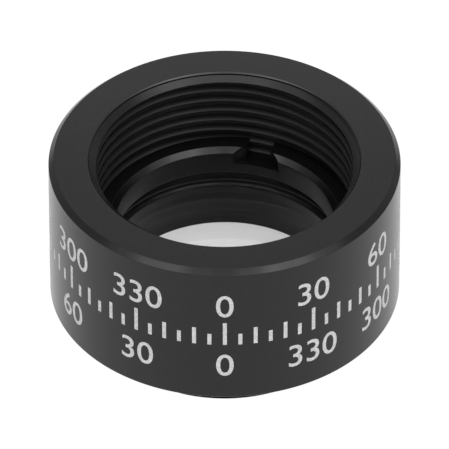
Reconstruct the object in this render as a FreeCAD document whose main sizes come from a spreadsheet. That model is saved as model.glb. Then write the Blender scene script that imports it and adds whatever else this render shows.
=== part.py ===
import FreeCAD, Part
import math
import os

import Sketcher

# A plano-convex lens in a threaded cell. The optical axis is Z and the threaded boss points down.
# The origin is the centre of the boss's end face, which the cell stands on. Sizes are millimetres.

SIZES = {
    # turned body of the cell
    "body_diameter": 17.78,
    "body_length": 8.25,
    "boss_length": 2.17,
    "top_chamfer": 0.27,
    "bottom_edge": 0.07,
    # mouth of the upper bore: a broken edge, a small step and a countersink
    "mouth_diameter": 13.70,
    "mouth_edge": 0.07,
    "mouth_step": 0.16,
    "mouth_slope": 30,
    # both threads have forty turns to the inch
    "thread_pitch": 0.635,
    "thread_flank": 30,
    "groove_floor": 0.08,
    "groove_overrun": 0.07,
    "bore_thread_crest_diameter": 13.00,
    "bore_thread_root_diameter": 13.59,
    "bore_thread_lead_in": 0.68,
    "boss_thread_crest_diameter": 13.56,
    "boss_thread_root_diameter": 12.78,
    "boss_thread_lead_in": 0.35,
    "undercut_width": 0.60,
    "undercut_diameter": 12.70,
    "boss_lead_chamfer": 0.30,
    # exit bore, and the lens seat with the chamfer that leads down into the bore
    "exit_diameter": 11.60,
    "exit_edge": 0.04,
    "seat_chamfer": 0.15,
    "seat_height": 2.92,
    "seat_clearance": 0.01,
    "lens_side_clearance": 0.05,
    # glass
    "lens_diameter": 12.70,
    "lens_curve_radius": 64.60,
    "lens_thickness": 2.20,
    "lens_bevel": 0.23,
    # retaining ring
    "ring_thickness": 1.52,
    "ring_bore_diameter": 11.16,
    "ring_bevel_width": 0.25,
    "ring_bevel_depth": 0.27,
    "ring_edge": 0.08,
    "ring_side_clearance": 0.03,
    "bay_side_clearance": 0.045,
    "bay_end_clearance": 0.02,
    "bay_depth_below_ring": 0.15,
    # two spanner slots, each opening into a round relief at the ring's bore
    "slot_width": 1.29,
    "slot_depth": 0.90,
    "slot_relief_radius": 1.57,
    "slot_relief_centre": 4.44,
    "ring_turn": 73,
}

# Radii and heights that several sub-parts share
BODY_RADIUS = "Sizes.body_diameter / 2"
OVERALL = "Sizes.boss_length + Sizes.body_length"
MOUTH_RADIUS = "Sizes.mouth_diameter / 2"
BORE_CREST = "Sizes.bore_thread_crest_diameter / 2"
BORE_ROOT = "Sizes.bore_thread_root_diameter / 2"
BOSS_CREST = "Sizes.boss_thread_crest_diameter / 2"
BOSS_ROOT = "Sizes.boss_thread_root_diameter / 2"
UNDERCUT_RADIUS = "Sizes.undercut_diameter / 2"
EXIT_RADIUS = "Sizes.exit_diameter / 2"
SEAT_RADIUS = f"({EXIT_RADIUS} + Sizes.seat_chamfer)"
LENS_RADIUS = "Sizes.lens_diameter / 2"
CURVE = "Sizes.lens_curve_radius"
POCKET_RADIUS = f"{LENS_RADIUS} + Sizes.lens_side_clearance"
BAY_RADIUS = f"{BORE_ROOT} + Sizes.bay_side_clearance"
RING_RADIUS = f"{BORE_ROOT} - Sizes.ring_side_clearance"
RING_BORE = "Sizes.ring_bore_diameter / 2"
SAG_AT_SEAT = f"({CURVE} - sqrt({CURVE}^2 - {SEAT_RADIUS}^2))"
LENS_FOOT = f"Sizes.seat_height + Sizes.seat_clearance - {SAG_AT_SEAT}"
LENS_TOP = f"{LENS_FOOT} + Sizes.lens_thickness"
RING_TOP = f"{LENS_TOP} + Sizes.ring_thickness"
BAY_TOP = f"{RING_TOP} + Sizes.bay_end_clearance"
BAY_FLOOR = f"{LENS_TOP} - Sizes.bay_depth_below_ring"


def make_sheet(document):
    """Put every driving dimension in a sheet, under its own name."""
    sheet = document.addObject("Spreadsheet::Sheet", "Sizes")
    for row, (name, value) in enumerate(SIZES.items(), start=1):
        sheet.set(f"A{row}", name)
        sheet.set(f"B{row}", str(value))
        sheet.setAlias(f"B{row}", name)
    document.recompute()
    return sheet


def start_sketch(body, name, role, height=None):
    """Add a sketch on one of the body's origin planes, raised by a height if one is given."""
    sketch = body.newObject("Sketcher::SketchObject", name)
    plane = next(item for item in body.Origin.OriginFeatures if item.Role == role)
    sketch.AttachmentSupport = (plane, [""])
    sketch.MapMode = "FlatFace"
    if height is not None:
        sketch.setExpression("AttachmentOffset.Base.z", height)
    return sketch


def hold(sketch, kind, places, expression):
    """Add one constraint and bind its value to an expression."""
    value = float(sketch.evalExpression(expression))
    index = sketch.addConstraint(Sketcher.Constraint(kind, *places, value))
    sketch.setExpression(f"Constraints[{index}]", expression)


def place_point(sketch, geometry, end, across, up):
    """Fix one end of a line or an arc at a distance across and up from the sketch's origin."""
    hold(sketch, "DistanceX", (-1, 1, geometry, end), across)
    hold(sketch, "DistanceY", (-1, 1, geometry, end), up)


def draw_outline(sketch, corners):
    """Draw a closed outline of straight lines through corners given as expressions."""
    points = [
        FreeCAD.Vector(sketch.evalExpression(across), sketch.evalExpression(up), 0)
        for across, up in corners
    ]
    count = len(points)
    for index, point in enumerate(points):
        sketch.addGeometry(Part.LineSegment(point, points[(index + 1) % count]), False)
    for index in range(count):
        sketch.addConstraint(Sketcher.Constraint("Coincident", index, 2, (index + 1) % count, 1))
    for index, (across, up) in enumerate(corners):
        place_point(sketch, index, 1, across, up)


def turn(body, name, sketch):
    """Turn a profile once round the optical axis."""
    feature = body.newObject("PartDesign::Revolution", name)
    feature.Profile = sketch
    feature.ReferenceAxis = (sketch, ["V_Axis"])
    feature.Angle = 360
    return feature


def cut_thread(body, name, sketch, height):
    """Sweep a groove upwards along a right-handed helix of the shared pitch."""
    feature = body.newObject("PartDesign::SubtractiveHelix", name)
    feature.Profile = (sketch, [""])
    feature.ReferenceAxis = (sketch, ["V_Axis"])
    feature.Mode = "pitch-height-angle"
    feature.LeftHanded = False
    feature.setExpression("Pitch", "Sizes.thread_pitch")
    feature.setExpression("Height", height)
    return feature


def groove_corners(floor_radius, open_radius, middle):
    """A thread groove: a narrow flat floor, with flanks that widen towards the open side."""
    floor_half = "Sizes.groove_floor / 2"
    depth = f"abs(({floor_radius}) - ({open_radius}))"
    open_half = f"{floor_half} + {depth} * tan(Sizes.thread_flank)"
    return [
        (floor_radius, f"{middle} - ({floor_half})"),
        (open_radius, f"{middle} - ({open_half})"),
        (open_radius, f"{middle} + {open_half}"),
        (floor_radius, f"{middle} + {floor_half}"),
    ]


def make_housing(document):
    """The cell: a turned body with a threaded bore above, a lens seat and a threaded boss below."""
    body = document.addObject("PartDesign::Body", "housing")
    body.Label = "housing"
    cone_depth = f"({MOUTH_RADIUS} - {BORE_CREST}) * tan(Sizes.mouth_slope)"
    undercut_foot = "Sizes.boss_length - Sizes.undercut_width"
    profile = start_sketch(body, "housing_profile", "XZ_Plane")
    draw_outline(
        profile,
        [
            # boss, from its exit bore outwards and up to the undercut behind its thread
            (f"{EXIT_RADIUS} + Sizes.exit_edge", "0"),
            (f"{BOSS_CREST} - Sizes.boss_lead_chamfer", "0"),
            (BOSS_CREST, "Sizes.boss_lead_chamfer"),
            (BOSS_CREST, undercut_foot),
            (UNDERCUT_RADIUS, undercut_foot),
            (UNDERCUT_RADIUS, "Sizes.boss_length"),
            # barrel and top face
            (f"{BODY_RADIUS} - Sizes.bottom_edge", "Sizes.boss_length"),
            (BODY_RADIUS, "Sizes.boss_length + Sizes.bottom_edge"),
            (BODY_RADIUS, f"{OVERALL} - Sizes.top_chamfer"),
            (f"{BODY_RADIUS} - Sizes.top_chamfer", OVERALL),
            # mouth, threaded bore and the bay that holds the retaining ring
            (f"{MOUTH_RADIUS} + Sizes.mouth_edge", OVERALL),
            (MOUTH_RADIUS, f"{OVERALL} - Sizes.mouth_edge"),
            (MOUTH_RADIUS, f"{OVERALL} - Sizes.mouth_step"),
            (BORE_CREST, f"{OVERALL} - Sizes.mouth_step - {cone_depth}"),
            (BORE_CREST, BAY_TOP),
            (BAY_RADIUS, BAY_TOP),
            (BAY_RADIUS, BAY_FLOOR),
            # lens pocket, seat and exit bore
            (POCKET_RADIUS, BAY_FLOOR),
            (POCKET_RADIUS, "Sizes.seat_height"),
            (SEAT_RADIUS, "Sizes.seat_height"),
            (EXIT_RADIUS, "Sizes.seat_height - Sizes.seat_chamfer"),
            (EXIT_RADIUS, "Sizes.exit_edge"),
        ],
    )
    turn(body, "turned_body", profile)

    # The bore thread starts in the open bay and runs out above the top face.
    bore_start = f"{BAY_TOP} - Sizes.bore_thread_lead_in"
    bore_groove = start_sketch(body, "bore_thread_groove", "XZ_Plane")
    bore_open = f"{BORE_CREST} - Sizes.groove_overrun"
    draw_outline(bore_groove, groove_corners(BORE_ROOT, bore_open, bore_start))
    bore_rise = f"{OVERALL} + Sizes.thread_pitch - ({bore_start})"
    cut_thread(body, "bore_thread", bore_groove, bore_rise)

    # The boss thread starts below the end face and runs out in the undercut.
    boss_groove = start_sketch(body, "boss_thread_groove", "XZ_Plane")
    boss_open = f"{BOSS_CREST} + Sizes.groove_overrun"
    draw_outline(boss_groove, groove_corners(BOSS_ROOT, boss_open, "-Sizes.boss_thread_lead_in"))
    boss_rise = "Sizes.boss_length - Sizes.undercut_width / 2 + Sizes.boss_thread_lead_in"
    cut_thread(body, "boss_thread", boss_groove, boss_rise)
    return body


def make_lens(document):
    """The glass: flat above, gently curved below, with both edges bevelled."""
    body = document.addObject("PartDesign::Body", "plano_convex_lens")
    body.Label = "plano_convex_lens"
    face_radius = f"{LENS_RADIUS} - Sizes.lens_bevel"
    sag = f"({CURVE} - sqrt({CURVE}^2 - ({face_radius})^2))"
    profile = start_sketch(body, "lens_profile", "XZ_Plane")
    curve = float(profile.evalExpression(CURVE))
    rim = float(profile.evalExpression(face_radius))
    circle = Part.Circle(FreeCAD.Vector(0, curve, 0), FreeCAD.Vector(0, 0, 1), curve)
    lowest = 1.5 * math.pi
    profile.addGeometry(Part.ArcOfCircle(circle, lowest, lowest + math.asin(rim / curve)), False)
    corners = [
        (face_radius, sag),
        (LENS_RADIUS, f"{sag} + Sizes.lens_bevel"),
        (LENS_RADIUS, "Sizes.lens_thickness - Sizes.lens_bevel"),
        (face_radius, "Sizes.lens_thickness"),
        ("0", "Sizes.lens_thickness"),
        ("0", "0"),
    ]
    points = [
        FreeCAD.Vector(profile.evalExpression(across), profile.evalExpression(up), 0)
        for across, up in corners
    ]
    for first, second in zip(points, points[1:]):
        profile.addGeometry(Part.LineSegment(first, second), False)
    lines = len(points) - 1
    for index in range(lines):
        profile.addConstraint(Sketcher.Constraint("Coincident", index, 2, index + 1, 1))
    profile.addConstraint(Sketcher.Constraint("Coincident", lines, 2, 0, 1))
    hold(profile, "Radius", (0,), CURVE)
    hold(profile, "DistanceX", (-1, 1, 0, 3), "0")
    place_point(profile, 0, 1, "0", "0")
    hold(profile, "DistanceX", (-1, 1, 0, 2), face_radius)
    for index, (across, up) in enumerate(corners[1:-1], start=2):
        place_point(profile, index, 1, across, up)
    turn(body, "ground_glass", profile)
    body.setExpression("Placement.Base.z", LENS_FOOT)
    return body


def make_ring(document):
    """The retaining ring, which rests on the flat of the lens, with two spanner slots."""
    body = document.addObject("PartDesign::Body", "retaining_ring")
    body.Label = "retaining_ring"
    top = "Sizes.ring_thickness"
    edge = "Sizes.ring_edge"
    profile = start_sketch(body, "ring_profile", "XZ_Plane")
    draw_outline(
        profile,
        [
            (f"{RING_BORE} + {edge}", "0"),
            (f"{RING_RADIUS} - {edge}", "0"),
            (RING_RADIUS, edge),
            (RING_RADIUS, f"{top} - {edge}"),
            (f"{RING_RADIUS} - {edge}", top),
            (f"{RING_BORE} + Sizes.ring_bevel_width", top),
            (RING_BORE, f"{top} - Sizes.ring_bevel_depth"),
            (RING_BORE, edge),
        ],
    )
    turn(body, "turned_ring", profile)

    # One slot runs straight out through the rim, from a round relief at the bore.
    slot = start_sketch(body, "slot_outline", "XY_Plane", top)
    half = "Sizes.slot_width / 2"
    past_rim = f"{RING_RADIUS} + Sizes.slot_width"
    draw_outline(
        slot,
        [
            ("Sizes.slot_relief_centre", f"-{half}"),
            (past_rim, f"-{half}"),
            (past_rim, half),
            ("Sizes.slot_relief_centre", half),
        ],
    )
    straight = body.newObject("PartDesign::Pocket", "straight_slot")
    straight.Profile = slot
    straight.setExpression("Length", "Sizes.slot_depth")

    relief = start_sketch(body, "relief_outline", "XY_Plane", top)
    centre = FreeCAD.Vector(relief.evalExpression("Sizes.slot_relief_centre"), 0, 0)
    radius = float(relief.evalExpression("Sizes.slot_relief_radius"))
    relief.addGeometry(Part.Circle(centre, FreeCAD.Vector(0, 0, 1), radius), False)
    hold(relief, "Radius", (0,), "Sizes.slot_relief_radius")
    place_point(relief, 0, 3, "Sizes.slot_relief_centre", "0")
    round_relief = body.newObject("PartDesign::Pocket", "round_relief")
    round_relief.Profile = relief
    round_relief.setExpression("Length", "Sizes.slot_depth")

    document.recompute()
    pair = body.newObject("PartDesign::PolarPattern", "opposite_slots")
    pair.Originals = [straight, round_relief]
    pair.Axis = (slot, ["N_Axis"])
    pair.Angle = 360
    pair.Occurrences = 2
    body.Tip = pair
    body.Placement.Rotation = FreeCAD.Rotation(FreeCAD.Vector(0, 0, 1), 1)
    body.setExpression("Placement.Base.z", LENS_TOP)
    body.setExpression("Placement.Rotation.Angle", "Sizes.ring_turn")
    return body


def check(document, bodies):
    """Stop unless every feature built, every cut took material away and every solid is sound."""
    for item in document.Objects:
        if "Invalid" in item.State or "Error" in item.State:
            raise RuntimeError(f"{item.Label} did not build")
    for body in bodies:
        before = None
        for feature in body.Group:
            if feature.isDerivedFrom("Sketcher::SketchObject"):
                continue
            volume = feature.Shape.Volume
            if before is not None and volume > before - 1e-4:
                raise RuntimeError(f"{feature.Label} takes nothing away")
            before = volume
        if body.Shape.isNull() or not body.Shape.isValid() or len(body.Shape.Solids) != 1:
            raise RuntimeError(f"{body.Label} is not one sound solid")


def main():
    document = FreeCAD.newDocument("MountedLens")
    make_sheet(document)
    bodies = [make_housing(document), make_lens(document), make_ring(document)]
    document.recompute()
    check(document, bodies)
    os.makedirs("parts", exist_ok=True)
    for body in bodies:
        body.Shape.exportStep(f"parts/{body.Label}.step")
        print(body.Label, round(body.Shape.Volume, 3), "mm3")


main()
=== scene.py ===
import math

import bmesh
import bpy
from mathutils import Matrix, Vector


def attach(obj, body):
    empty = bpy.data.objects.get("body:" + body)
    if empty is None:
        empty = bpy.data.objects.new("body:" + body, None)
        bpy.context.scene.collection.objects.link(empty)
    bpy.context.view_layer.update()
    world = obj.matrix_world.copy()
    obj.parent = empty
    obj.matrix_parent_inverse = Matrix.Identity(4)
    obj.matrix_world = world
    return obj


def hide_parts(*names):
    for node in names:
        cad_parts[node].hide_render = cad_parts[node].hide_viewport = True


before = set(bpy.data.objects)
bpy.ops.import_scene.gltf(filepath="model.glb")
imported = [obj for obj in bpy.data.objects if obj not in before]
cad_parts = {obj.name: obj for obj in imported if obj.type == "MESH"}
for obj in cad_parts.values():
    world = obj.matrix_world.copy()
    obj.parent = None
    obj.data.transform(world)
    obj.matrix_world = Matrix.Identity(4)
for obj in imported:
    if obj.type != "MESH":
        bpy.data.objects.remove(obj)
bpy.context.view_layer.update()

# Pieces are modelled in millimetres and brought to metres when they are finished.
# The optical axis is Z, the threaded boss points down and the viewer looks from -Y.

fullTurn = 2 * math.pi
turnSteps = 256  # facets round every turned surface
heldApart = -0.3  # how far a loop waits below its final height
hairline = 1e-5  # closer than this is the same place
eitherSide = 1e-4  # keeps a level's own points on one side of a test
touch = 0.005  # how near a face's middle may come to the edge that it is told by
fullyUp = 0.99  # the lean of a face that looks straight up is 1


def everything(bm):
    return bm.verts[:] + bm.edges[:] + bm.faces[:]


def onlyVerts(geometry):
    return [item for item in geometry if isinstance(item, bmesh.types.BMVert)]


def onlyEdges(geometry):
    return [item for item in geometry if isinstance(item, bmesh.types.BMEdge)]


def setRing(verts, radius, height):
    for vert in verts:
        away = math.hypot(vert.co.x, vert.co.y)
        vert.co = (vert.co.x * radius / away, vert.co.y * radius / away, height)


def openLoop(bm, height):
    level = [edge for edge in bm.edges if edge.is_boundary]
    return [edge for edge in level if all(abs(vert.co.z - height) < 2e-4 for vert in edge.verts)]


def growRings(bm, edges, corners):
    # each corner of the turned profile is one more ring, extruded from the last
    for radius, height in corners:
        made = bmesh.ops.extrude_edge_only(bm, edges=edges)["geom"]
        setRing(onlyVerts(made), radius, height)
        edges = [edge for edge in onlyEdges(made) if edge.is_boundary]
    return edges


def joinLevel(bm, radius, height):
    # bridges a loop held apart from its final height, because two loops in one plane can be joined crosswise
    waiting = openLoop(bm, height + heldApart)
    bmesh.ops.bridge_loops(bm, edges=waiting + openLoop(bm, height))
    setRing({vert for edge in waiting for vert in edge.verts}, radius, height)


def spinThread(bm, profile, pitch, low, high):
    # profile is one pitch of the thread, (radius, rise), from groove to groove
    start = [bm.verts.new((radius, 0, low + rise)) for radius, rise in profile]
    line = [bm.edges.new(pair) for pair in zip(start, start[1:])]
    bmesh.ops.spin(
        bm, geom=start + line, cent=(0, 0, 0), axis=(0, 0, 1), dvec=(0, 0, pitch / turnSteps),
        angle=fullTurn, steps=turnSteps, use_merge=False, use_duplicate=False)
    oneTurn = everything(bm)
    for turn in range(1, math.ceil((high - low) / pitch)):
        copy = bmesh.ops.duplicate(bm, geom=oneTurn)["geom"]
        bmesh.ops.translate(bm, vec=(0, 0, turn * pitch), verts=onlyVerts(copy))
    bmesh.ops.remove_doubles(bm, verts=bm.verts, dist=5e-4)


def trimBelow(bm, height):
    bmesh.ops.bisect_plane(
        bm, geom=everything(bm), dist=hairline, plane_co=(0, 0, height), plane_no=(0, 0, -1), clear_outer=True)


def trimAbove(bm, height):
    bmesh.ops.bisect_plane(
        bm, geom=everything(bm), dist=hairline, plane_co=(0, 0, height), plane_no=(0, 0, 1), clear_outer=True)


def scoreLevel(bm, height):
    bmesh.ops.bisect_plane(bm, geom=everything(bm), dist=hairline, plane_co=(0, 0, height), plane_no=(0, 0, 1))


def turnTaper(bm, taper, outwards):
    # cuts a thread along a cone, taper(height) giving its radius, and lays what is past it on the cone
    side = 1 if outwards else -1
    past = {}
    for vert in bm.verts:
        radius = taper(vert.co.z)
        away = 0 if radius is None else side * (radius - math.hypot(vert.co.x, vert.co.y))
        past[vert] = 0 if abs(away) < hairline else away
    crossing = []
    for edge in bm.edges[:]:
        first, second = edge.verts
        if past[first] * past[second] < 0:
            share = past[first] / (past[first] - past[second])
            crossing.append(bmesh.utils.edge_split(edge, first, share)[1])
    onCone = [vert for vert, away in past.items() if away == 0 and taper(vert.co.z) is not None]
    bmesh.ops.connect_verts(bm, verts=crossing + onCone)
    for vert, away in past.items():
        if away > 0:
            setRing([vert], taper(vert.co.z), vert.co.z)


def cornerEdges(bm, corners):
    # the closed edges of a turned piece that lie at the given (radius, height)
    found = []
    for edge in bm.edges:
        places = [(math.hypot(vert.co.x, vert.co.y), vert.co.z) for vert in edge.verts]
        for radius, height in corners:
            if all(abs(away - radius) < 2e-3 and abs(up - height) < 2e-3 for away, up in places):
                found.append(edge)
                break
    return found


def softenCorners(bm, corners, width, segments):
    bmesh.ops.bevel(
        bm, geom=cornerEdges(bm, corners), offset=width, offset_type="OFFSET", segments=segments,
        profile=0.5, affect="EDGES", material=-1, clamp_overlap=True)


def pourInto(bm, other):
    # adds one bmesh to another
    draft = bpy.data.meshes.new("draft")
    other.to_mesh(draft)
    other.free()
    bm.from_mesh(draft)
    bpy.data.meshes.remove(draft)


def asObject(bm, name):
    bmesh.ops.scale(bm, vec=(0.001, 0.001, 0.001), verts=bm.verts)
    mesh = bpy.data.meshes.new(name)
    bm.to_mesh(mesh)
    bm.free()
    piece = bpy.data.objects.new(name, mesh)
    bpy.context.scene.collection.objects.link(piece)
    return piece


def shadeTurned(piece, sharpFrom):
    # smooth round the axis, while broad faces keep their own direction up to their eased edges
    piece.data.shade_smooth()
    piece.data.set_sharp_from_angle(angle=math.radians(sharpFrom))
    piece.data.transform(Matrix.Scale(1000, 4))  # areas in square metres are too small to be weighed
    weigh = piece.modifiers.new("broadFaces", "WEIGHTED_NORMAL")
    weigh.mode = "FACE_AREA"
    weigh.weight = 50
    weigh.keep_sharp = True
    bpy.context.view_layer.update()
    shaded = bpy.data.meshes.new_from_object(piece.evaluated_get(bpy.context.evaluated_depsgraph_get()))
    shaded.transform(Matrix.Scale(0.001, 4))
    piece.modifiers.clear()
    piece.data = shaded


def threadProfile(crest, root, pitch, floor, flank, round_):
    # one pitch from groove centre to groove centre, with the crest's corners eased
    sign = 1 if root > crest else -1
    depth = abs(root - crest)
    lean = math.tan(math.radians(flank))
    foot = floor / 2
    brow = foot + depth * lean
    half = [
        (root, 0),
        (root, foot),
        (crest + sign * round_, brow - round_ * lean),
        (crest + sign * round_ * 0.28, brow - round_ * 0.1),
        (crest, brow + round_ * 0.75),
    ]
    return half + [(crest, pitch / 2)] + [(radius, pitch - rise) for radius, rise in reversed(half)]


def finishFaces(piece, finishes, choose):
    # choose(radius, height, lean) in millimetres gives each face the number of its finish
    for finish in finishes:
        piece.data.materials.append(finish)
    for part in piece.data.polygons:
        centre = part.center * 1000
        part.material_index = choose(math.hypot(centre.x, centre.y), centre.z, part.normal.z)


def newMaterial(name):
    material = bpy.data.materials.new(name)
    material.use_nodes = True
    nodes = material.node_tree.nodes
    shader = next(node for node in nodes if node.type == "BSDF_PRINCIPLED")
    return material, nodes, material.node_tree.links, shader


def addMath(nodes, links, operation, first, second=None):
    node = nodes.new("ShaderNodeMath")
    node.operation = operation
    for index, value in enumerate((first, second)):
        if value is None:
            continue
        if isinstance(value, (int, float)):
            node.inputs[index].default_value = value
        else:
            links.new(value, node.inputs[index])
    return node.outputs[0]


def addNoise(nodes, links, place, scale, detail):
    noise = nodes.new("ShaderNodeTexNoise")
    noise.inputs["Scale"].default_value = scale
    noise.inputs["Detail"].default_value = detail
    links.new(place, noise.inputs["Vector"])
    return noise.outputs["Fac"]


def addRange(nodes, links, value, start, end, low, high, kind="LINEAR"):
    # maps start to end on to low to high
    spread = nodes.new("ShaderNodeMapRange")
    spread.interpolation_type = kind
    for label, setting in (("From Min", start), ("From Max", end), ("To Min", low), ("To Max", high)):
        if isinstance(setting, (int, float)):
            spread.inputs[label].default_value = setting
        else:
            links.new(setting, spread.inputs[label])
    links.new(value, spread.inputs["Value"])
    return spread.outputs["Result"]


def addTone(nodes, links, shader, grain, look):
    # the grain takes the base colour from darkest to lightest
    tone = nodes.new("ShaderNodeValToRGB")
    colours = look["darkest"], look["lightest"]
    for element, position, colour in zip(tone.color_ramp.elements, look["toneEnds"], colours):
        element.position = position
        element.color = colour
    links.new(grain, tone.inputs["Fac"])
    links.new(tone.outputs["Color"], shader.inputs["Base Color"])


def addBump(nodes, links, height, strength, depth, under=None):
    bump = nodes.new("ShaderNodeBump")
    bump.inputs["Strength"].default_value = strength
    bump.inputs["Distance"].default_value = depth
    links.new(height, bump.inputs["Height"])
    if under is not None:
        links.new(under, bump.inputs["Normal"])
    return bump.outputs["Normal"]


def anodisedBlack(name, look):
    # fine grain of the etched metal, with the tool's turning lines under it
    material, nodes, links, shader = newMaterial(name)
    shader.inputs["IOR"].default_value = look["ior"]
    place = nodes.new("ShaderNodeTexCoord").outputs["Object"]
    split = nodes.new("ShaderNodeSeparateXYZ")
    links.new(place, split.inputs[0])
    across = addMath(
        nodes, links, "SQRT", addMath(
            nodes, links, "ADD",
            addMath(nodes, links, "MULTIPLY", split.outputs[0], split.outputs[0]),
            addMath(nodes, links, "MULTIPLY", split.outputs[1], split.outputs[1])))
    ringwise = nodes.new("ShaderNodeCombineXYZ")
    links.new(across, ringwise.inputs[0])
    links.new(split.outputs[2], ringwise.inputs[2])
    turning = addNoise(nodes, links, ringwise.outputs[0], look["turningScale"], 3)
    grain = addNoise(nodes, links, place, look["grainScale"], 4)
    cloud = addNoise(nodes, links, place, look["cloudScale"], 2)
    addTone(nodes, links, shader, grain, look)
    rough = addRange(nodes, links, cloud, 0, 1, look["roughLow"], look["roughHigh"])
    links.new(rough, shader.inputs["Roughness"])
    coarse = addBump(nodes, links, turning, look["turningBump"], look["bumpDepth"])
    fine = addBump(nodes, links, grain, look["grainBump"], look["bumpDepth"], coarse)
    links.new(fine, shader.inputs["Normal"])
    return material


def clearGlass(name, look):
    # coated glass that lets the studio light through to what lies below
    material, nodes, links, shader = newMaterial(name)
    shader.inputs["Base Color"].default_value = look["tint"]
    shader.inputs["Roughness"].default_value = look["roughness"]
    shader.inputs["IOR"].default_value = look["ior"]
    shader.inputs["Transmission Weight"].default_value = 1
    shader.inputs["Specular IOR Level"].default_value = look["glint"]
    shader.inputs["Specular Tint"].default_value = look["coating"]
    path = nodes.new("ShaderNodeLightPath")
    through = nodes.new("ShaderNodeBsdfTransparent")
    mix = nodes.new("ShaderNodeMixShader")
    ending = next(node for node in nodes if node.type == "OUTPUT_MATERIAL")
    links.new(path.outputs["Is Shadow Ray"], mix.inputs[0])
    links.new(shader.outputs[0], mix.inputs[1])
    links.new(through.outputs[0], mix.inputs[2])
    links.new(mix.outputs[0], ending.inputs["Surface"])
    return material


def groundGlass(name, look):
    # the frosted edge, fine ground
    material, nodes, links, shader = newMaterial(name)
    shader.inputs["IOR"].default_value = look["ior"]
    shader.inputs["Specular IOR Level"].default_value = look["glint"]
    shader.inputs["Roughness"].default_value = look["roughness"]
    place = nodes.new("ShaderNodeTexCoord").outputs["Object"]
    grit = addNoise(nodes, links, place, look["gritScale"], 3)
    addTone(nodes, links, shader, grit, look)
    links.new(addBump(nodes, links, grit, look["gritBump"], look["bumpDepth"]), shader.inputs["Normal"])
    return material


def markFilling(name, look):
    # the pale, slightly uneven surface that a laser leaves in black anodising
    material, nodes, links, shader = newMaterial(name)
    shader.inputs["Roughness"].default_value = look["roughness"]
    shader.inputs["IOR"].default_value = look["ior"]
    place = nodes.new("ShaderNodeTexCoord").outputs["Object"]
    addTone(nodes, links, shader, addNoise(nodes, links, place, look["gritScale"], 3), look)
    return material


cell = {
    "pitch": 0.635,
    "flank": 30,
    "grooveFloor": 0.08,
    "crestEase": 0.022,
    "boreCrest": 6.50,
    "boreRoot": 6.795,
    "boreGroove": 3.810,  # a groove's height at +X, below the bay
    "bayFloor": 4.705,
    "mouthFoot": 10.26,
    "mouthRadius": 6.85,
    "mouthSlope": 30,
    "mouthEdge": 0.07,
    "top": 10.42,
    "barrelRadius": 8.89,
    "chamfer": 0.27,
    "cornerRound": 0.018,
    "bossCrest": 6.78,
    "bossRoot": 6.39,
    "bossGroove": -0.985,
    "bossTop": 1.57,
    "bossLead": 0.30,
    "undercut": 6.35,
    "shoulder": 2.17,
    "shoulderRound": 0.08,
    "exitRadius": 5.80,
    "exitEdge": 0.04,
    "seat": 2.92,
    "seatChamfer": 0.15,
    "seatRound": 0.05,  # below the chamfer
    "pocket": 6.40,
    "sharpFrom": 24,  # degrees
}

cellLook = {
    "ior": 1.408,
    "toneEnds": (0.3, 0.75),
    "darkest": (0.0, 0.0, 0.0, 1),
    "lightest": (0.009, 0.009, 0.009, 1),
    "roughLow": 0.19,
    "roughHigh": 0.25,
    "turningScale": 9000,
    "grainScale": 13000,
    "cloudScale": 500,
    "turningBump": 0.08,
    "grainBump": 0.12,
    "bumpDepth": 0.00001,
}

# threads and bored walls come off the tool rougher, and the edge of the mouth reflects more strongly, a painted
# highlight along its edge line broken up by patchy roughness
threadLook = dict(cellLook, ior=1.37, lightest=(0.005, 0.005, 0.005, 1), roughLow=0.38, roughHigh=0.46)
boredLook = dict(threadLook, ior=1.29, roughLow=0.30, roughHigh=0.38)
edgeHighlightLook = dict(cellLook, ior=1.62, roughLow=0.24, roughHigh=0.40, cloudScale=2600)


def turnBoss():
    # the threaded boss with the lens seat in it, up to just below the bay's floor
    def leadCone(height):
        if height > cell["bossLead"] + eitherSide:
            return None
        return cell["bossCrest"] - cell["bossLead"] + height

    boss = bmesh.new()
    bossProfile = threadProfile(
        cell["bossCrest"], cell["bossRoot"], cell["pitch"], cell["grooveFloor"], cell["flank"], cell["crestEase"])
    spinThread(boss, bossProfile, cell["pitch"], cell["bossGroove"], cell["bossTop"])
    trimBelow(boss, 0)
    trimAbove(boss, cell["bossTop"])
    scoreLevel(boss, cell["bossLead"])
    turnTaper(boss, leadCone, False)
    growRings(boss, openLoop(boss, cell["bossTop"]), [(cell["undercut"], cell["bossTop"])])
    growRings(boss, openLoop(boss, 0), [
        (cell["exitRadius"] + cell["exitEdge"], 0),
        (cell["exitRadius"], cell["exitEdge"]),
        (cell["exitRadius"], cell["seat"] - cell["seatChamfer"]),
        (cell["exitRadius"] + cell["seatChamfer"], cell["seat"]),
        (cell["pocket"], cell["seat"]),
        (cell["pocket"], cell["bayFloor"] + heldApart),
    ])
    return boss


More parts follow.
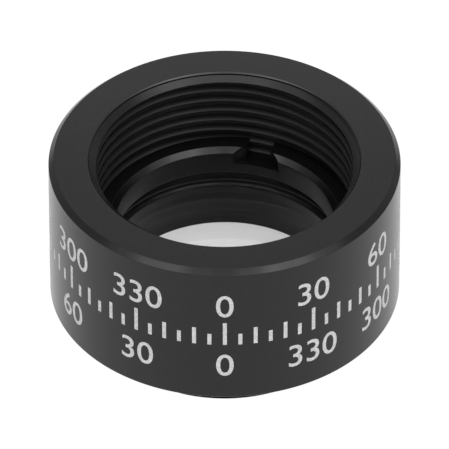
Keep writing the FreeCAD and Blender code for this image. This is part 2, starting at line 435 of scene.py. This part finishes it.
def makeCell():
    slope = math.tan(math.radians(cell["mouthSlope"]))
    coneFoot = cell["mouthFoot"] - (cell["mouthRadius"] - cell["boreCrest"]) * slope

    def mouthCone(height):
        if height < coneFoot - eitherSide:
            return None
        return cell["mouthRadius"] - (cell["mouthFoot"] - height) / slope

    bm = bmesh.new()
    boreProfile = threadProfile(
        cell["boreCrest"], cell["boreRoot"], cell["pitch"], cell["grooveFloor"], cell["flank"], cell["crestEase"])
    spinThread(bm, boreProfile, cell["pitch"], cell["boreGroove"], cell["mouthFoot"])
    trimBelow(bm, cell["bayFloor"])
    trimAbove(bm, cell["mouthFoot"])
    scoreLevel(bm, coneFoot)
    turnTaper(bm, mouthCone, True)
    mouth, edge, top = cell["mouthRadius"], cell["mouthEdge"], cell["top"]
    barrel, chamfer = cell["barrelRadius"], cell["chamfer"]
    growRings(bm, openLoop(bm, cell["mouthFoot"]), [
        (mouth, top - edge),
        (mouth + edge, top),
        (barrel - chamfer, top),
        (barrel, top - chamfer),
        (barrel, cell["shoulder"]),
        (cell["undercut"], cell["shoulder"]),
    ])
    # the two halves meet in the undercut and behind the ring
    pourInto(bm, turnBoss())
    levels = [(cell["undercut"], cell["shoulder"]), (cell["undercut"], cell["bossTop"])]
    undercutEdges = [edge for edge in cornerEdges(bm, levels) if edge.is_boundary]
    bmesh.ops.bridge_loops(bm, edges=undercutEdges)
    joinLevel(bm, cell["pocket"], cell["bayFloor"])
    softenCorners(bm, [
        (barrel - chamfer, top), (barrel, top - chamfer), (mouth + edge, top), (mouth, top - edge),
        (cell["exitRadius"] + cell["seatChamfer"], cell["seat"]),
    ], cell["cornerRound"], 2)
    softenCorners(bm, [(barrel, cell["shoulder"])], cell["shoulderRound"], 5)
    softenCorners(bm, [(cell["exitRadius"], cell["seat"] - cell["seatChamfer"])], cell["seatRound"], 5)
    bmesh.ops.recalc_face_normals(bm, faces=bm.faces)
    print("cell", len(bm.faces), "faces,", sum(edge.is_boundary for edge in bm.edges), "open edges,",
          sum(not edge.is_manifold for edge in bm.edges), "loose or doubled edges")
    piece = asObject(bm, "cell")
    shadeTurned(piece, cell["sharpFrom"])

    def finishOf(radius, height, lean):
        # the faces round the mouth's edge take the painted highlight finish
        onEdge = radius < mouth + edge + touch and height > top - edge - touch
        if onEdge and lean < fullyUp:
            return 3
        if radius > mouth - touch or height > coneFoot:
            return 0
        return 1 if radius > cell["undercut"] - touch else 2

    finishFaces(piece, [
        anodisedBlack("anodisedCell", cellLook), anodisedBlack("cutThread", threadLook),
        anodisedBlack("boredCell", boredLook), anodisedBlack("paintedEdgeHighlight", edgeHighlightLook)], finishOf)
    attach(piece, "root")
    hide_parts("housing")
    return piece


ring = {
    "foot": 4.860,
    "top": 6.375,
    "threadGap": 0.025,  # between its thread and the bore's
    "bore": 5.58,
    "bevelWidth": 0.25,
    "bevelDepth": 0.27,
    "bevelRound": 0.015,
    "bevelLean": (0.3, 0.95),  # the bevel's own faces, from its foot to its top
    "edge": 0.08,
    "footRound": 0.09,
    "slotWidth": 1.29,
    "slotDepth": 0.90,
    "reliefRadius": 1.57,
    "reliefCentre": 4.44,
    "turn": 73,
    "toolHeight": 1.6,
    "toolReach": 1.2,  # past the thread
    "sharpFrom": 24,
}

ringLook = dict(cellLook, cloudScale=900)
boredRingLook = dict(boredLook, ior=1.33, cloudScale=900, roughLow=0.33, roughHigh=0.40)


def makeSlotTools():
    # boxes cut the straight slots and round tools their reliefs, one of each at either side
    boxes = bmesh.new()
    rounds = bmesh.new()
    height, outer = ring["toolHeight"], cell["boreRoot"] + ring["toolReach"]
    middle = ring["top"] - ring["slotDepth"] + height / 2
    for side in (0, math.pi):
        turned = Matrix.Rotation(math.radians(ring["turn"]) + side, 4, "Z")
        place = Matrix.Translation(((outer + ring["reliefCentre"]) / 2, 0, middle))
        size = Matrix.Diagonal((outer - ring["reliefCentre"], ring["slotWidth"], height, 1))
        bmesh.ops.create_cube(boxes, size=1, matrix=turned @ place @ size)
        bmesh.ops.create_cone(
            rounds, cap_ends=True, segments=turnSteps // 2, radius1=ring["reliefRadius"],
            radius2=ring["reliefRadius"], depth=height,
            matrix=turned @ Matrix.Translation((ring["reliefCentre"], 0, middle)))
    return [asObject(boxes, "slotBoxes"), asObject(rounds, "slotRounds")]


def makeRing():
    gap, foot, top, edge = ring["threadGap"], ring["foot"], ring["top"], ring["edge"]
    outer = cell["boreRoot"] - gap

    def rimCone(height):
        if height > top - edge - eitherSide:
            return outer - edge + (top - height)
        if height < foot + edge + eitherSide:
            return outer - edge + (height - foot)
        return None

    bm = bmesh.new()
    profile = threadProfile(
        cell["boreCrest"] - gap, outer, cell["pitch"], cell["grooveFloor"], cell["flank"], cell["crestEase"])
    spinThread(bm, profile, cell["pitch"], cell["boreGroove"], top)
    trimBelow(bm, foot)
    trimAbove(bm, top)
    scoreLevel(bm, foot + edge)
    scoreLevel(bm, top - edge)
    turnTaper(bm, rimCone, False)
    growRings(bm, openLoop(bm, top), [
        (ring["bore"] + ring["bevelWidth"], top),
        (ring["bore"], top - ring["bevelDepth"]),
        (ring["bore"], foot + heldApart),
    ])
    joinLevel(bm, ring["bore"], foot)
    softenCorners(bm, [
        (ring["bore"] + ring["bevelWidth"], top), (ring["bore"], top - ring["bevelDepth"]),
    ], ring["bevelRound"], 2)
    softenCorners(bm, [(ring["bore"], foot)], ring["footRound"], 5)
    bmesh.ops.recalc_face_normals(bm, faces=bm.faces)
    piece = asObject(bm, "retainingRing")
    tools = makeSlotTools()
    for tool in tools:
        cut = piece.modifiers.new("slots", "BOOLEAN")
        cut.operation = "DIFFERENCE"
        cut.solver = "EXACT"
        cut.object = tool
    bpy.context.view_layer.update()
    whole = piece.evaluated_get(bpy.context.evaluated_depsgraph_get())
    slotted = bpy.data.meshes.new_from_object(whole)
    piece.modifiers.clear()
    piece.data = slotted
    for tool in tools:
        bpy.data.meshes.remove(tool.data)
    print("retaining ring", len(slotted.polygons), "faces")
    slotted.materials.clear()
    shadeTurned(piece, ring["sharpFrom"])
    steepest, flattest = ring["bevelLean"]

    def finishOf(radius, height, lean):
        onBevel = radius < ring["bore"] + ring["bevelWidth"] and height > top - ring["bevelDepth"]
        return 0 if onBevel and steepest < lean < flattest else 1

    finishFaces(piece, [
        anodisedBlack("anodisedRing", ringLook), anodisedBlack("boredRing", boredRingLook)], finishOf)
    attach(piece, "root")
    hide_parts("retaining_ring")
    return piece


lens = {
    "foot": 2.655,
    "thickness": 2.20,
    "radius": 6.35,
    "curve": 64.60,
    "bevel": 0.23,
    "bevelEdge": 0.05,  # the strip where the bevel meets the polished curve, painted lighter and glossier as a highlight line
    "curveSteps": 28,
    "groundLean": 0.3,  # the bevels lean more than this, the ground edge less
    "sharpFrom": 20,
}

glassLook = {
    "tint": (0.99, 0.99, 0.99, 1),
    "coating": (0.9, 0.9, 0.9, 1),
    "glint": 0.15,
    "ior": 1.517,
    "roughness": 0.0,
}

groundLook = {
    "ior": 1.5,
    "glint": 0.02,
    "roughness": 0.65,
    "gritScale": 18000,
    "gritBump": 0.4,
    "bumpDepth": 0.00001,
    "toneEnds": (0, 1),
    "darkest": (0.006, 0.006, 0.006, 1),
    "lightest": (0.024, 0.024, 0.024, 1),
}

bevelLook = dict(groundLook, darkest=(0.002, 0.002, 0.002, 1), lightest=(0.012, 0.012, 0.012, 1))
# a painted highlight: lighter, glossier ground glass for the narrow strip next to the polished curve
paintedBevelHighlightLook = dict(groundLook, glint=0.2, darkest=(0.03, 0.03, 0.03, 1), lightest=(0.06, 0.06, 0.06, 1))


def makeLens():
    foot, curve = lens["foot"], lens["curve"]
    face = lens["radius"] - lens["bevel"]
    top = foot + lens["thickness"]
    bm = bmesh.new()
    start = bm.verts.new((0, 0, foot))
    under = bmesh.ops.spin(  # the polished curve, swung about its own centre
        bm, geom=[start], cent=(0, 0, foot + curve), axis=(0, -1, 0), angle=math.asin(face / curve),
        steps=lens["curveSteps"], use_merge=False, use_duplicate=False)
    last = onlyVerts(under["geom_last"])[0]
    sag = last.co.z - foot
    for radius, height in [
        (face + lens["bevelEdge"], foot + sag + lens["bevelEdge"]),
        (lens["radius"], foot + sag + lens["bevel"]),
        (lens["radius"], top - lens["bevel"]),
        (face, top),
        (0, top),
    ]:
        following = bm.verts.new((radius, 0, height))
        bm.edges.new((last, following))
        last = following
    bmesh.ops.spin(
        bm, geom=everything(bm), cent=(0, 0, 0), axis=(0, 0, 1), angle=fullTurn, steps=turnSteps,
        use_merge=True, use_duplicate=False)
    bmesh.ops.remove_doubles(bm, verts=bm.verts, dist=1e-4)
    bmesh.ops.recalc_face_normals(bm, faces=bm.faces)
    print("lens", len(bm.faces), "faces,", sum(edge.is_boundary for edge in bm.edges), "open edges")
    piece = asObject(bm, "lens")
    shadeTurned(piece, lens["sharpFrom"])

    def finishOf(radius, height, lean):
        if radius < face - touch:
            return 0
        if abs(lean) < lens["groundLean"]:
            return 1
        # the narrow strip next to the polished curve carries the painted highlight
        return 3 if radius < face + lens["bevelEdge"] else 2

    finishFaces(piece, [
        clearGlass("coatedGlass", glassLook), groundGlass("groundEdge", groundLook),
        groundGlass("groundBevel", bevelLook), groundGlass("bevelEdge", paintedBevelHighlightLook)], finishOf)
    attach(piece, "root")
    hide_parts("plano_convex_lens")
    return piece


# the scale round the barrel
scale = {
    "inner": 8.882,
    "outer": 8.895,
    "plate": 0.02,  # its thickness before it is bent round
    "digitHeight": 1.44,
    "digitShare": 0.729,  # a digit's height in the font's own size
    "digitWeight": 0.008,
    "digitSteps": 6,
    "bendStep": 0.2,
    "upperFoot": 7.49,  # heights of the rows above the boss's end
    "lowerFoot": 3.64,
    "tickFoot": 5.66,
    "tickHeights": {5: 0.70, 10: 1.05, 30: 1.42},
    "tickWidth": 0.20,
    "labelStep": 30,
    "tickStep": 5,
}

markLook = {
    "ior": 1.4,
    "roughness": 0.75,
    "gritScale": 9000,
    "toneEnds": (0.25, 0.7),
    "darkest": (0.38, 0.38, 0.38, 1),
    "lightest": (0.64, 0.64, 0.64, 1),
}


def wrapRound(bm, turn):
    # bends a flat plate, x along the barrel's girth and y upwards, on to the barrel
    for vert in bm.verts:
        angle = math.radians(turn) + vert.co.x / scale["outer"]
        radius = scale["outer"] if vert.co.z > 0 else scale["inner"]
        vert.co = (radius * math.sin(angle), -radius * math.cos(angle), vert.co.y)


def sliceAcross(bm, step):
    wide = max(abs(vert.co.x) for vert in bm.verts)
    for index in range(-math.ceil(wide / step), math.ceil(wide / step) + 1):
        bmesh.ops.bisect_plane(
            bm, geom=everything(bm), dist=hairline, plane_co=(index * step, 0, 0), plane_no=(1, 0, 0))


def addNumeral(bm, words, turn, foot):
    text = bpy.data.curves.new("numeral", "FONT")
    text.body = words
    text.align_x = "CENTER"
    text.size = scale["digitHeight"] / scale["digitShare"]
    text.extrude = scale["plate"] / 2
    text.offset = scale["digitWeight"]
    text.resolution_u = scale["digitSteps"]
    stand = bpy.data.objects.new("numeral", text)
    bpy.context.scene.collection.objects.link(stand)
    bpy.context.view_layer.update()
    flat = bpy.data.meshes.new_from_object(stand.evaluated_get(bpy.context.evaluated_depsgraph_get()))
    bpy.data.objects.remove(stand)
    plate = bmesh.new()
    plate.from_mesh(flat)
    bpy.data.meshes.remove(flat)
    bmesh.ops.remove_doubles(plate, verts=plate.verts, dist=hairline)
    sliceAcross(plate, scale["bendStep"])
    bmesh.ops.translate(plate, vec=(0, foot, 0), verts=plate.verts)
    wrapRound(plate, turn)
    pourInto(bm, plate)


def addTick(bm, turn):
    tall = next(height for step, height in sorted(scale["tickHeights"].items(), reverse=True) if turn % step == 0)
    plate = bmesh.new()
    middle = Matrix.Translation((0, scale["tickFoot"] + tall / 2, 0))
    size = Matrix.Diagonal((scale["tickWidth"], tall, scale["plate"], 1))
    bmesh.ops.create_cube(plate, size=1, matrix=middle @ size)
    wrapRound(plate, turn)
    pourInto(bm, plate)


def makeScale():
    bm = bmesh.new()
    for turn in range(0, 360, scale["labelStep"]):
        addNumeral(bm, str(turn), turn, scale["upperFoot"])
        addNumeral(bm, str((360 - turn) % 360), turn, scale["lowerFoot"])
    for turn in range(0, 360, scale["tickStep"]):
        addTick(bm, turn)
    bmesh.ops.dissolve_degenerate(bm, dist=2e-3, edges=bm.edges)
    bmesh.ops.recalc_face_normals(bm, faces=bm.faces)
    print("scale", len(bm.faces), "faces")
    piece = asObject(bm, "scaleMarks")
    piece.data.materials.append(markFilling("paleMarking", markLook))
    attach(piece, "root")
    return piece


# floor and sky
studio = {
    "floorSize": 900,
    "floorGap": 0.01,  # keeps it from sharing a plane with the boss's end
    "floorWhite": 0.02,  # the lit table, and the paper in the painted shade under the cell
    "floorGlow": 1.0,
    # inside shadeRadius the floor's glow is cut down, a painted shadow of the cell, and a painted glow brings part
    # of it back along Y
    "shadeWhite": 0.5,
    "shadeGlow": 0.40,
    "shadeRadius": 6.2,
    "shadeReach": (1.6, 4.4),  # the painted glow rises from the viewer's side to the back, along Y
    "skyWhite": 0.5,
    "wallFrom": (0.62, 0.80),  # the room's dark far wall, as the Y of a direction
    "wallTop": 0.5,  # and as its Z
}

# softboxes: turn from the viewer towards the right, lift above the floor, both in degrees
panels = {
    "right": {"turn": 43, "lift": 36, "away": 300, "size": (120, 150), "glow": 2.06},
    "left": {"turn": -44, "lift": 37, "away": 300, "size": (120, 150), "glow": 1.77},
    "rightNear": {"turn": 22, "lift": 37, "away": 300, "size": (110, 150), "glow": 1.14},
    "leftNear": {"turn": -22, "lift": 37, "away": 300, "size": (110, 150), "glow": 0.75},
    "front": {"turn": 0, "lift": 37, "away": 300, "size": (110, 150), "glow": 0.55},
    "rightWide": {"turn": 66, "lift": 33, "away": 300, "size": (110, 150), "glow": 0.75},
    "leftWide": {"turn": -66, "lift": 33, "away": 300, "size": (110, 150), "glow": 0.51},
    "rightHigh": {"turn": 65, "lift": 62, "away": 300, "size": (220, 130), "glow": 0.97},
    "leftHigh": {"turn": -65, "lift": 62, "away": 300, "size": (220, 130), "glow": 0.57},
    "top": {"turn": 90, "lift": 87, "away": 220, "size": (170, 170), "glow": 1.15},
    "back": {"turn": 180, "lift": 43, "away": 300, "size": (260, 110), "glow": 0.15},
    "backNear": {"turn": 180, "lift": 22, "away": 62, "size": (44, 34), "glow": 0.34},
}

view = {
    "lens": 817.47,
    "distance": 514.28,
    "elevation": 39.668,
    "aim": 6.060,
    "across": -0.0077,
    "roll": -0.106,
}


def hangPanel(name, panel):
    # an evenly bright rectangle that faces the mouth of the cell
    lamp = bpy.data.lights.new(name, "AREA")
    lamp.shape = "RECTANGLE"
    lamp.size, lamp.size_y = [side * 0.001 for side in panel["size"]]
    lamp.energy = 4 * lamp.size * lamp.size_y * panel["glow"]
    holder = bpy.data.objects.new(name, lamp)
    bpy.context.scene.collection.objects.link(holder)
    turn, lift = math.radians(panel["turn"]), math.radians(panel["lift"])
    out = Vector((math.sin(turn) * math.cos(lift), -math.cos(turn) * math.cos(lift), math.sin(lift))) * panel["away"]
    facing = (-out).to_track_quat("-Z", "Y").to_matrix().to_4x4()
    holder.matrix_world = Matrix.Translation((out + Vector((0, 0, cell["top"]))) * 0.001) @ facing


def makeSky():
    # even light all round, fading towards the horizon behind the object
    world = bpy.data.worlds.new("studioSky")
    bpy.context.scene.world = world
    world.use_nodes = True
    nodes, links = world.node_tree.nodes, world.node_tree.links
    sky = next(node for node in nodes if node.type == "BACKGROUND")
    sky.inputs["Color"].default_value = (1, 1, 1, 1)
    split = nodes.new("ShaderNodeSeparateXYZ")
    links.new(nodes.new("ShaderNodeTexCoord").outputs["Generated"], split.inputs[0])
    wallStart, wallEnd = studio["wallFrom"]
    behind = addRange(nodes, links, split.outputs[1], wallStart, wallEnd, 0, 1, "SMOOTHSTEP")
    low = addRange(nodes, links, split.outputs[2], 0, studio["wallTop"], 1, 0, "SMOOTHSTEP")
    dark = addMath(nodes, links, "MULTIPLY", behind, low)
    links.new(addRange(nodes, links, dark, 0, 1, studio["skyWhite"], 0), sky.inputs["Strength"])


def makeStudio():
    bm = bmesh.new()
    clearOfBoss = Matrix.Translation((0, 0, -studio["floorGap"]))
    bmesh.ops.create_grid(bm, x_segments=2, y_segments=2, size=studio["floorSize"] / 2, matrix=clearOfBoss)
    floor = asObject(bm, "floor")
    material, nodes, links, shader = newMaterial("paleFloor")
    shader.inputs["Roughness"].default_value = 1
    shader.inputs["Specular IOR Level"].default_value = 0
    shader.inputs["Emission Color"].default_value = (1, 1, 1, 1)
    place = nodes.new("ShaderNodeTexCoord").outputs["Object"]
    reach = nodes.new("ShaderNodeVectorMath")
    reach.operation = "LENGTH"
    links.new(place, reach.inputs[0])
    # a disc of painted shade under the cell, where the floor's glow is cut
    shaded = addMath(nodes, links, "LESS_THAN", reach.outputs["Value"], studio["shadeRadius"] * 0.001)
    split = nodes.new("ShaderNodeSeparateXYZ")
    links.new(place, split.inputs[0])
    # painted glow on the far side of the painted shade, where light from the front would fall through the bore
    nearSide, farSide = [reached * 0.001 for reached in studio["shadeReach"]]
    paintedSeepGlow = addRange(nodes, links, split.outputs[1], nearSide, farSide, 0, studio["shadeGlow"], "SMOOTHSTEP")
    white = addRange(nodes, links, shaded, 0, 1, studio["floorWhite"], studio["shadeWhite"])
    links.new(white, shader.inputs["Base Color"])
    links.new(addRange(nodes, links, shaded, 0, 1, studio["floorGlow"], paintedSeepGlow), shader.inputs["Emission Strength"])
    floor.data.materials.append(material)
    makeSky()
    for name, panel in panels.items():
        hangPanel(name, panel)
    print("studio ready")


def makeCamera():
    lean = math.radians(view["elevation"])
    camera = bpy.data.cameras.new("camera")
    camera.lens = view["lens"]
    camera.sensor_width = 36
    camera.clip_start = 0.01
    camera.clip_end = 10
    holder = bpy.data.objects.new("camera", camera)
    bpy.context.scene.collection.objects.link(holder)
    stand = Vector((
        view["across"], -view["distance"] * math.cos(lean), cell["top"] + view["distance"] * math.sin(lean)))
    towards = Vector((view["across"], 0, view["aim"])) - stand
    facing = towards.to_track_quat("-Z", "Y").to_matrix().to_4x4()
    holder.matrix_world = (
        Matrix.Translation(stand * 0.001) @ facing @ Matrix.Rotation(math.radians(view["roll"]), 4, "Z"))
    bpy.context.scene.camera = holder
    bpy.context.scene.view_settings.view_transform = "Standard"
    print("camera ready")


makeCamera()
makeStudio()
makeCell()
makeRing()
makeLens()
makeScale()
